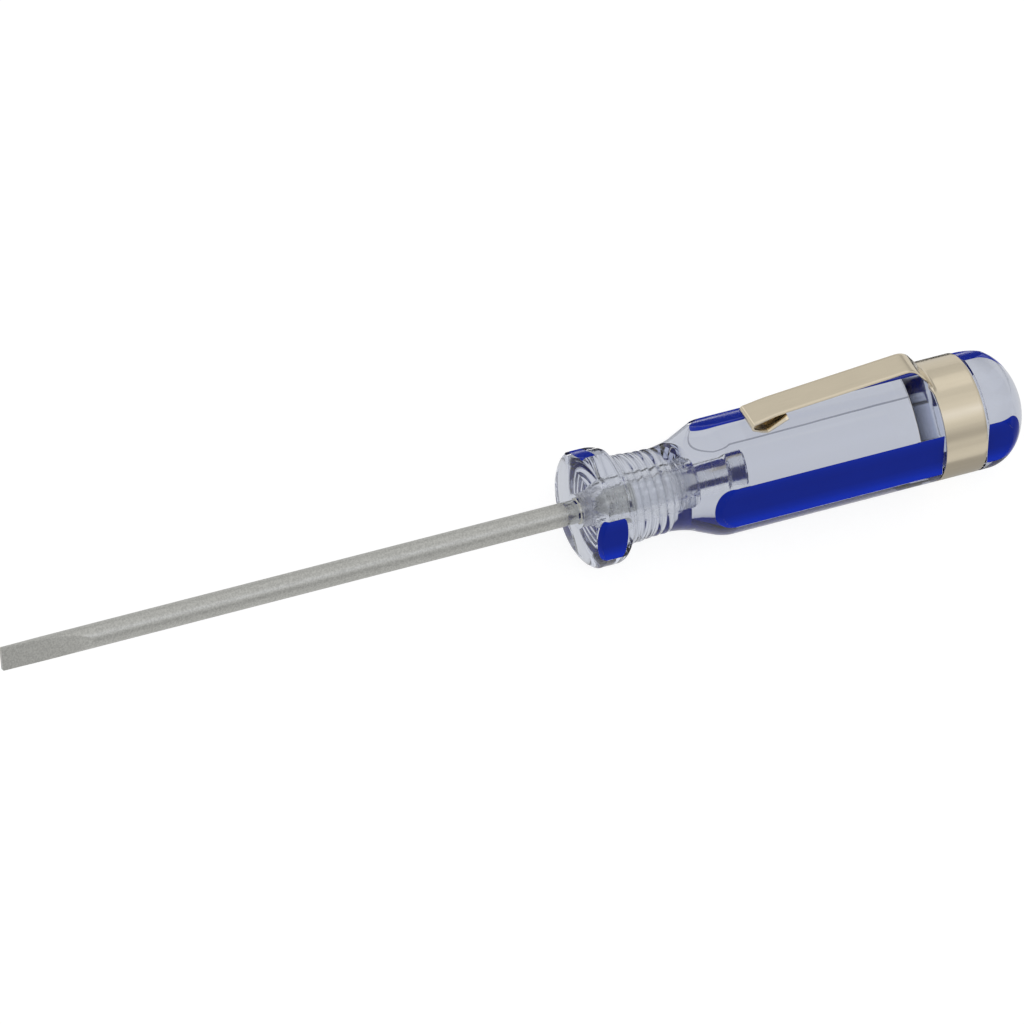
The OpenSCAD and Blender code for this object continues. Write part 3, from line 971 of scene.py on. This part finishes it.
def clip_sheet(c):
    """The clip's outside: the strip's rows, and the band's two ends bent round from them."""
    line, runs = clip_line(c)
    core = [c.arm_half * (i / 5 - 1) for i in range(11)]
    side = [c.arm_half + c.flare * (i + 1) / 8 for i in range(8)]
    columns = [-t for t in side[::-1]] + core + side
    front = min(zip(line, runs), key=lambda pair: pair[0].x)[1]
    up, across = spread(c.turn), spread(c.turn + math.pi / 2)
    work = bmesh.new()

    def place(x, t, h):
        return work.verts.new(Vector((x, 0, 0)) + across * t + up * h)

    grid = []
    for point, run in zip(line, runs):
        spots = strip_row(c, point, run, front, columns)
        grid.append([spot and place(*spot) for spot in spots])
    for a, b in zip(grid, grid[1:]):
        for j in range(len(columns) - 1):
            ring = [v for v in (a[j], a[j + 1], b[j + 1], b[j]) if v is not None]
            if len(ring) > 2:
                work.faces.new(ring)
    steps = 60
    first = math.asin(columns[-1] / c.band_r)
    last = math.pi - c.seam / 2 / c.band_r
    places = [c.band_from - run for run in runs if run <= 1e-9]
    for sign, edge in ((1, -1), (-1, 0)):
        old = [row[edge] for row in grid[: len(places)]]
        for i in range(steps):
            turn = mixed(first, last, (i + 1) / steps)
            t, h = sign * c.band_r * math.sin(turn), c.band_r * math.cos(turn)
            new = [place(x, t, h) for x in places]
            for k in range(len(new) - 1):
                ring = [old[k], new[k], new[k + 1], old[k + 1]]
                work.faces.new(ring if sign > 0 else ring[::-1])
            old = new
    bmesh.ops.remove_doubles(work, verts=work.verts, dist=0.02 * MM)
    bmesh.ops.recalc_face_normals(work, faces=work.faces)
    top = max(work.faces, key=lambda f: f.calc_center_median() @ up)
    if top.normal @ up < 0:
        bmesh.ops.reverse_faces(work, faces=work.faces)
    return piece_from("clip_sheet", work)


class SCREWDRIVER_OT_clip(bpy.types.Operator):
    """Fold the pocket clip from one strip: its band, its root, its arm and its hook"""

    bl_idname = "screwdriver.clip"
    bl_label = "Pocket clip"

    def execute(self, context):
        c = context.scene.screwdriver_clip
        sheet = clip_sheet(c)
        wall = sheet.modifiers.new("wall", "SOLIDIFY")
        configured(wall, thickness=c.sheet, offset=-1, use_even_offset=False)
        soft = sheet.modifiers.new("soft", "BEVEL")
        configured(soft, width=WORN_EDGE, segments=2, limit_method="ANGLE")
        soft.angle_limit = math.radians(50)
        context.view_layer.update()
        piece = plain_copy(sheet, "clip_folded")
        keep_edges(piece.data, 40)
        finish_piece(piece, bright_nickel(c), ["clip_band", "clip_arm"])
        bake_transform(piece)
        return {"FINISHED"}


# The enamel starts here at the earliest, leans over this length and is at least this wide.
FIRST_X, LEAN_LEN, NARROWEST = 0.08 * MM, 5 * MM, 0.05 * MM


def field_piece(name, outline, stretch, widest, distance, coat, turn):
    """A thin coat over one flat and a little past its ends. The stretch holds the places where
    it starts and ends on the axis, how far each end takes to reach its full width, how much its
    front end leans, and from which side on."""
    start, end, start_round, end_round, lean, lean_from = stretch
    out, across = spread(turn), spread(turn + math.pi / 2)

    def half_width(x):
        share = 1
        for gap, rounding in ((x - start, start_round), (end - x, end_round)):
            if rounding and gap < rounding:
                share = min(share, math.sqrt(max(0, 1 - (1 - gap / rounding) ** 2)))
        return max(NARROWEST, widest * share)

    def height(r, u, lift, ceiling):
        return min(ceiling, math.sqrt(max(0, r * r - u * u)) + lift)

    steps, columns = 160, 20
    work = bmesh.new()
    grid = []
    for i in range(steps + 1):
        # The rows lie closer together towards both ends.
        share = i / steps
        share -= 0.12 * math.sin(math.tau * share)
        x = mixed(start, end, share)
        w = half_width(x)
        fade = max(0, 1 - (x - start) / LEAN_LEN)
        us = [w * math.sin(math.pi / 2 * (2 * k / columns - 1)) for k in range(columns + 1)]
        row = []
        skins = (coat / 4, distance, us), (-coat, distance - 2 * coat, us[::-1])
        for lift, ceiling, line in skins:
            for u in line:
                at = max(FIRST_X, x + lean * fade * max(u, lean_from))
                h = height(radius_at(outline, at), u, lift, ceiling)
                row.append(work.verts.new(Vector((at, 0, 0)) + across * u + out * h))
        grid.append(row)
    size = len(grid[0])
    for a, b in zip(grid, grid[1:]):
        for j in range(size):
            k = (j + 1) % size
            work.faces.new((a[j], a[k], b[k], b[j]))
    for row in (grid[0][::-1], grid[-1]):
        work.faces.new(row)
    bmesh.ops.recalc_face_normals(work, faces=work.faces)
    return piece_from(name, work)


class SCREWDRIVER_OT_fields(bpy.types.Operator):
    """Paint the two flats of the nose, the barrel and the butt"""

    bl_idname = "screwdriver.fields"
    bl_label = "Painted fields"

    def execute(self, context):
        s, f = context.scene.screwdriver_handle, context.scene.screwdriver_fields
        outline = outer_outline(s)
        finish = blue_enamel(f)
        band_front, band_rear = s.groove_from - 0.05 * MM, s.groove_to + 0.05 * MM
        far_from, far_to = f.nose_from + 1.0 * MM, f.nose_to - 0.9 * MM
        stretches = {
            "stripe_front": (f.stripe_from, band_front, 2.6 * MM, 0, 0, 0),
            "stripe_back": (f.stripe_from + 0.9 * MM, band_front, 3 * MM, 0, 0.57, -1.5 * MM),
            "nose_field_front": (f.nose_from, f.nose_to, 0.8 * MM, 0.8 * MM, 0, 0),
            "nose_field_back": (far_from, far_to, 0.3 * MM, 0.3 * MM, 0.15, -f.half_width),
            "butt_field_front": (band_rear, f.butt_to, 0, 1.9 * MM, 0, 0),
            "butt_field_back": (band_rear, f.butt_to + 1.2 * MM, 0, 1.9 * MM, 0, 0),
        }
        for node_name, stretch in stretches.items():
            back = node_name.endswith("back")
            turn = math.radians(60 if back else -60)
            widest = f.half_width + (f.overlap if node_name == "stripe_back" else 0)
            sizes = outline, stretch, widest, s.flat_dist, f.coat, turn
            piece = field_piece(f"{node_name}_enamel", *sizes)
            keep_edges(piece.data, 40)
            finish_piece(piece, finish, [node_name], "tool")
        return {"FINISHED"}


# Studio

# Soft boxes by their name, place, size and power.
SOFT_BOXES = (
    ("key_box", (-0.1, -0.1, 0.6), 0.4, 0.12),
    ("fill_box", (0.25, 0.45, 0.4), 0.3, 0.05),
)


def soft_box(name, place, size, power):
    """A square soft box aimed at the nose face."""
    light = configured(bpy.data.lights.new(name, "AREA"), shape="SQUARE", size=size, energy=power)
    lamp = configured(new_piece(name, light), location=place, rotation_mode="QUATERNION")
    lamp.rotation_quaternion = (-Vector(place)).to_track_quat("-Z", "Y")


def sight(add):
    """Outputs that tell whether the lens, gloss or clear plastic is looking."""
    rays = add("LightPath").outputs
    return rays["Is Camera Ray"], rays["Is Glossy Ray"], rays["Is Transmission Ray"]


# What the clear plastic shows of the tent and the floor behind it.
CLEAR_VIEW = linear("#C9CCD2")
# Strips of the floor that gloss sees darker, in mm: the middle and the half of their width along
# Y, where they start along X, and how much darker they are. They are painted reflections: gloss
# sees a painted black card behind the tool, with a lit slit that paints the light line on the far
# stripe, and a painted grey card before the band and the butt.
GLOSS_STRIPS = ((17, 3.5, 4, 0.97), (16.53, 0.09, 4, -2.522), (-19, 12, 47, 0.45))
# How much brighter than white the lens sees the floor, and the share of that in what it sees.
LENS_GLOW, LENS_SHARE = 0.21, 0.7
# The share of plain white in what gloss and clear plastic see of the floor.
PLAIN_SHARE = 0.97


def pale_floor(s):
    """Matt white card. It gives the eye a plain white sheet with the tool's soft shadow; gloss
    and clear plastic see it as pale too, apart from the strips that only gloss sees."""
    made, add, place = material("matt_white_card")
    # Paper fibres of some 0.02 mm are too fine to show, so they are drawn 1.1 mm long.
    fibre = add("TexNoise", {"Vector": place, "Scale": 1 / (1.1 * MM), "Detail": 2.0})
    tone = add("Mix", (fibre, dimmed(s.floor, 0.985), s.floor), data_type="RGBA")
    card = add("BsdfDiffuse", {"Color": tone})

    camera, glossy, clear = sight(add)
    x, y = add("SeparateXYZ", (place,)).outputs[:2]
    dark = 0.0
    for middle, half_width, start, darkness in GLOSS_STRIPS:
        strip = add("Math", (y, middle * MM, half_width * MM), "COMPARE")
        past = add("Math", (x, start * MM), "GREATER_THAN")
        strip = add("Math", (strip, past), "MULTIPLY")
        dark = add("Math", (strip, darkness, dark), "MULTIPLY_ADD")
    dark = add("Math", (dark, glossy), "MULTIPLY")
    lit = add("Math", (1.0, dark), "SUBTRACT")

    level = add("Math", (camera, LENS_GLOW, 1.0), "MULTIPLY_ADD")
    level = add("Math", (level, lit), "MULTIPLY")
    seen = add("Mix", (clear, linear("#DDDDDD"), CLEAR_VIEW), data_type="RGBA")
    seen = add("Mix", (camera, seen, WHITE), data_type="RGBA")
    white = add("Emission", {"Color": seen, "Strength": level})
    plain = add("Math", (clear, glossy), "MAXIMUM")
    plain = add("Math", (plain, PLAIN_SHARE), "MULTIPLY")
    plain = add("Math", (camera, LENS_SHARE, plain), "MULTIPLY_ADD")
    both = add("MixShader", (plain, card, white))
    add("OutputMaterial", {"Surface": both})
    return made


# Brightness of the tent by its turn about the tool, in degrees from +Z towards +Y: light behind
# the lens, dimmer low on the near side and beyond the tool.
TENT_LEVELS = (
    *((-180, 0.45), (-95, 0.6), (-74, 0.66), (-66, 0.47), (-58, 0.47), (-48, 0.62), (-30, 0.82)),
    *((-18, 1.0), (-5, 0.8), (20, 0.7), (45, 0.68), (80, 0.62), (100, 0.55), (180, 0.45)),
)
# Brightness of the tent along the tool, by the x part of the line of sight: a light panel a
# little towards the tip, whose reflections run round the rings and the dome, and less light
# beyond the butt.
PANEL_LEVELS = (
    *((-1, 0.2), (-0.45, 0.2), (-0.33, 0.3), (-0.08, 0.3), (0.02, 0.2), (0.5, 0.2), (0.65, 0.15)),
    (1, 0.12),
)
# Metal, gloss and clear plastic see the tent brighter by this factor.
PANEL_SCALE = 5.0
# How much cooler than white the tent's brightest part is.
COOL_SHARE = 0.08


def light_tent(scene):
    """A white tent, plain white to the lens. Metal and gloss see its brightness change round the
    tool and along it, and clear plastic sees it change only along it."""
    world = bpy.data.worlds.new("light_tent")
    scene.world = world
    world.use_nodes = True
    world.node_tree.nodes.clear()
    add = partial(node, world.node_tree)
    camera, glossy, clear = sight(add)
    aim = add("TexCoord").outputs["Generated"]
    x, y, z = add("SeparateXYZ", (aim,)).outputs

    turn = add("Math", (y, z), "ARCTAN2")
    turn = add("MapRange", (turn, -math.pi, math.pi))
    round_tool = add("ValToRGB", (turn,))
    stops = []
    for degrees, level in TENT_LEVELS:
        cool = COOL_SHARE if level > 0.9 else 0
        tone = (level * (1 - cool / 3), level, level * (1 + cool), 1)
        stops.append((degrees / 360 + 0.5, tone))
    set_stops(round_tool, stops)
    tent = add("Mix", (clear, round_tool, CLEAR_VIEW), data_type="RGBA")

    ahead = add("MapRange", (x, -1.0, 1.0))
    along_tool = add("ValToRGB", (ahead,))
    set_stops(along_tool, [(x_part / 2 + 0.5, grey(level)) for x_part, level in PANEL_LEVELS])
    panels = add("Math", (along_tool, PANEL_SCALE), "MULTIPLY")
    shiny = add("Math", (glossy, clear), "MAXIMUM")
    panels = add("Mix", (shiny, 1.0, panels), data_type="FLOAT")
    level = add("Mix", (1.0, tent, panels), data_type="RGBA", blend_type="MULTIPLY")
    level = add("Mix", (camera, level, WHITE), data_type="RGBA")
    back = add("Background", {"Color": level, "Strength": 1.0})
    add("OutputWorld", {"Surface": back})


# Where the lens looks from, how far it is rolled, and the place it looks at, along the blade's
# axis and across it.
VIEW_FROM, VIEW_ROLL, VIEW_AT = (-0.36, -0.288, 0.887), math.radians(14.418), (-8.72 * MM, 2 * MM)
# The floor's corners, half its side, and how far it lies under the tool.
SQUARE = ((-1, -1), (1, -1), (1, 1), (-1, 1))
FLOOR_REACH, FLOOR_GAP = 3.0, 0.1 * MM


class SCREWDRIVER_OT_studio(bpy.types.Operator):
    """Set up the pale floor, the lights and the camera"""

    bl_idname = "screwdriver.studio"
    bl_label = "Studio"

    def execute(self, context):
        scene, s = context.scene, context.scene.screwdriver_studio
        mesh = bpy.data.meshes.new("card")
        corners = [(x * FLOOR_REACH, y * FLOOR_REACH, 0) for x, y in SQUARE]
        mesh.from_pydata(corners, [], [(0, 1, 2, 3)])
        mesh.transform(Matrix.Translation((0, 0, CAD_BOX[0].z - FLOOR_GAP)))
        mesh.materials.append(pale_floor(s))
        new_piece("card_floor", mesh)
        light_tent(scene)
        for box in SOFT_BOXES:
            soft_box(*box)
        out = Vector(VIEW_FROM).normalized()
        across_axis = Vector((0, out.z, -out.y)).normalized()
        along_axis = (Vector((1, 0, 0)) - out * out.x).normalized()
        right = along_axis * math.cos(VIEW_ROLL) - across_axis * math.sin(VIEW_ROLL)
        up = along_axis * math.sin(VIEW_ROLL) + across_axis * math.cos(VIEW_ROLL)
        target = Vector((VIEW_AT[0], 0, 0)) + across_axis * VIEW_AT[1]
        data = bpy.data.cameras.new("long_lens")
        configured(data, lens=s.focal, sensor_width=36, clip_start=0.01, clip_end=10)
        distance = s.view_width / data.sensor_width * s.focal
        camera = new_piece("long_lens", data)
        turn = Matrix((right, up, out)).transposed().to_4x4()
        camera.matrix_world = Matrix.Translation(target + out * distance) @ turn
        scene.camera = camera
        scene.view_settings.view_transform = "Standard"
        return {"FINISHED"}


class SCREWDRIVER_PT_pieces(bpy.types.Panel):
    bl_label = "Pocket screwdriver"
    bl_idname = "SCREWDRIVER_PT_pieces"
    bl_space_type = "VIEW_3D"
    bl_region_type = "UI"
    bl_category = "Screwdriver"

    def draw(self, context):
        for operator, group in PIECES:
            box = self.layout.box()
            box.operator(operator.bl_idname)
            settings = getattr(context.scene, group)
            for key in settings.__annotations__:
                box.prop(settings, key)


PIECES = (
    (SCREWDRIVER_OT_handle, "screwdriver_handle"),
    (SCREWDRIVER_OT_blade, "screwdriver_blade"),
    (SCREWDRIVER_OT_clip, "screwdriver_clip"),
    (SCREWDRIVER_OT_fields, "screwdriver_fields"),
    (SCREWDRIVER_OT_studio, "screwdriver_studio"),
)
GROUPS = (HandleSettings, BladeSettings, ClipSettings, FieldSettings, StudioSettings)


def register():
    for group, (operator, name) in zip(GROUPS, PIECES):
        bpy.utils.register_class(group)
        setattr(bpy.types.Scene, name, PointerProperty(type=group))
        bpy.utils.register_class(operator)
    bpy.utils.register_class(SCREWDRIVER_PT_pieces)


def unregister():
    bpy.utils.unregister_class(SCREWDRIVER_PT_pieces)
    for group, (operator, name) in zip(GROUPS, PIECES):
        bpy.utils.unregister_class(operator)
        delattr(bpy.types.Scene, name)
        bpy.utils.unregister_class(group)


def main():
    register()
    bpy.ops.screwdriver.handle()
    bpy.ops.screwdriver.blade()
    bpy.ops.screwdriver.clip()
    bpy.ops.screwdriver.fields()
    bpy.ops.screwdriver.studio()


if __name__ == "__main__":
    main()
